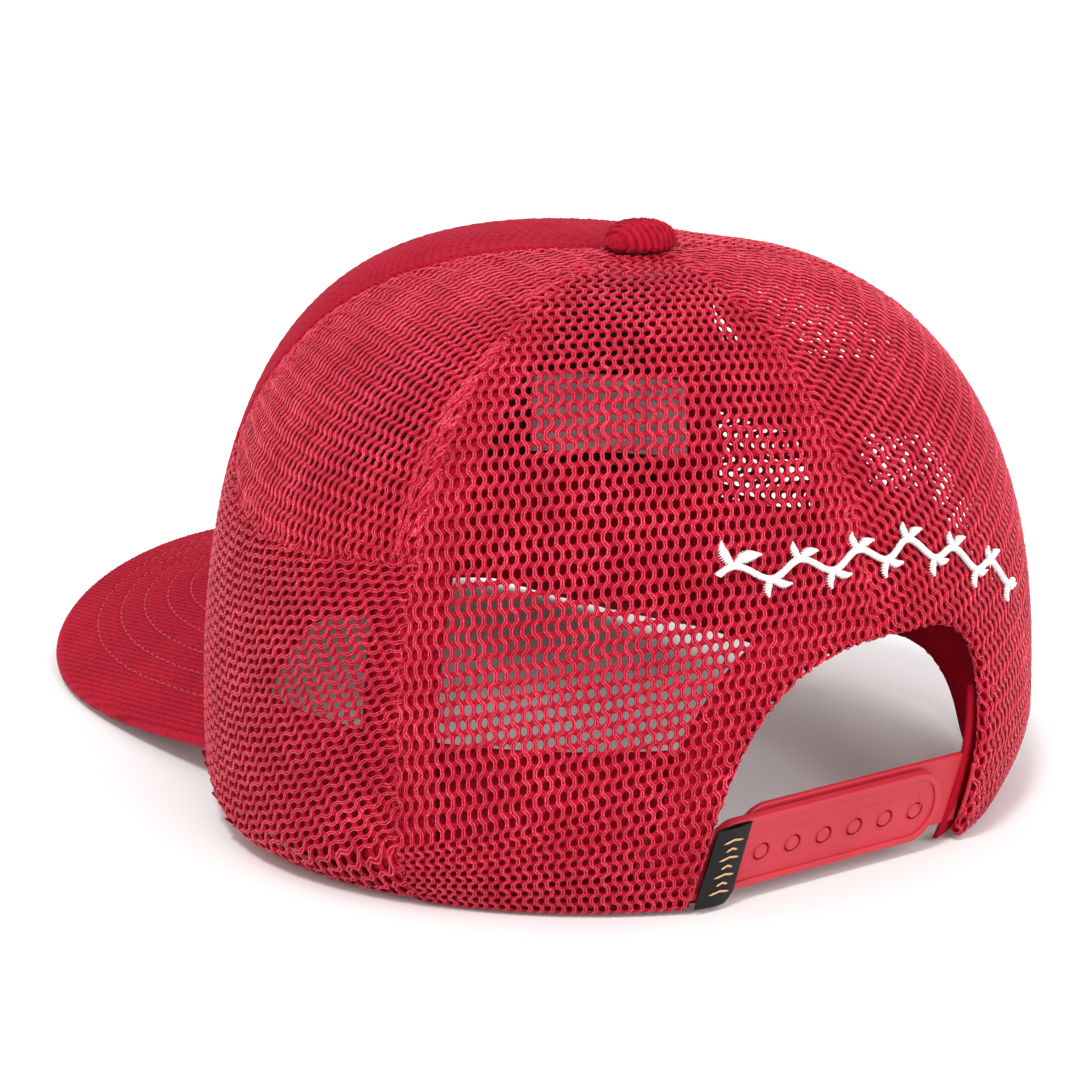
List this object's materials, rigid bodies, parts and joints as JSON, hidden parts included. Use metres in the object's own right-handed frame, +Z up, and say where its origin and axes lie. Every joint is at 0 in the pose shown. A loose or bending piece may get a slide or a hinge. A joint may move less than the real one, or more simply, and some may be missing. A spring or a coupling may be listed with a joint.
{
  "type": "trucker cap",
  "caption": "Trucker cap with a corduroy front and curved visor, open mesh sides and back, fabric button, sweatband and plastic snap closure under a rear arch.",
  "frame": {"origin": "middle of the cap's bounding box, on the plane that it rests on", "axes": "+X to the wearer's left, +Y to the back of the head, +Z up; the visor points to -Y"},
  "size_m": [0.1884, 0.2628, 0.1307],
  "materials": {
    "mesh_cloth": "open warp-knitted polyester net, crimson, slight sheen",
    "corduroy": "fine-wale cotton corduroy, deep crimson, soft pile",
    "tape_cloth": "woven twill tape, crimson, matt",
    "sweatband_cloth": "smooth cotton twill, crimson, matt",
    "buckram": "stiffened open weave, dark red",
    "patch_cloth": "woven label cloth, pale mauve grey",
    "board": "flexible polyethylene sheet",
    "strap_plastic": "moulded soft plastic, salmon red, satin",
    "label_satin": "woven black satin",
    "thread": "white rayon embroidery thread",
    "rivet": "plain pressed steel"
  },
  "bodies": {
    "cap": {"front_panel": "corduroy", "front_buckram": "buckram", "left_upper_side_panel": "mesh_cloth", "left_lower_side_panel": "mesh_cloth", "right_upper_side_panel": "mesh_cloth", "right_lower_side_panel": "mesh_cloth", "left_rear_panel": "mesh_cloth", "right_rear_panel": "mesh_cloth", "left_front_seam_tape": "tape_cloth", "left_rear_seam_tape": "tape_cloth", "left_side_seam_tape": "tape_cloth", "right_front_seam_tape": "tape_cloth", "right_rear_seam_tape": "tape_cloth", "right_side_seam_tape": "tape_cloth", "centre_back_tape": "tape_cloth", "arch_binding": "tape_cloth", "sweatband": "sweatband_cloth", "inner_front_patch": "patch_cloth", "visor_top_cover": "corduroy", "visor_board": "board", "visor_under_cover": "corduroy", "top_button": "corduroy", "button_rivet": "rivet", "left_strap_tail": "strap_plastic", "right_strap_tail": "strap_plastic", "back_embroidery": "thread"},
    "outer_strap": {"outer_strap": "strap_plastic"},
    "inner_strap": {"inner_strap": "strap_plastic"},
    "flag_label": {"flag_label": "label_satin"}
  },
  "joints": [
    {"name": "outer_strap_flex", "type": "hinge", "parent": "cap", "child": "outer_strap", "pos_m": [0.0357, 0.11863, 0.01172], "axis": [0, -0.2419, -0.9703], "range_deg": [0, 25], "stiffness_Nm_per_rad": 0.02},
    {"name": "inner_strap_flex", "type": "hinge", "parent": "cap", "child": "inner_strap", "pos_m": [-0.0357, 0.11688, 0.01215], "axis": [0, -0.2419, -0.9703], "range_deg": [0, 30], "stiffness_Nm_per_rad": 0.02},
    {"name": "label_flap", "type": "hinge", "parent": "outer_strap", "child": "flag_label", "pos_m": [0.0339, 0.12057, 0.01124], "axis": [0.1293, -0.2399, -0.9621], "range_deg": [0, 40], "stiffness_Nm_per_rad": 0.0002}
  ]
}
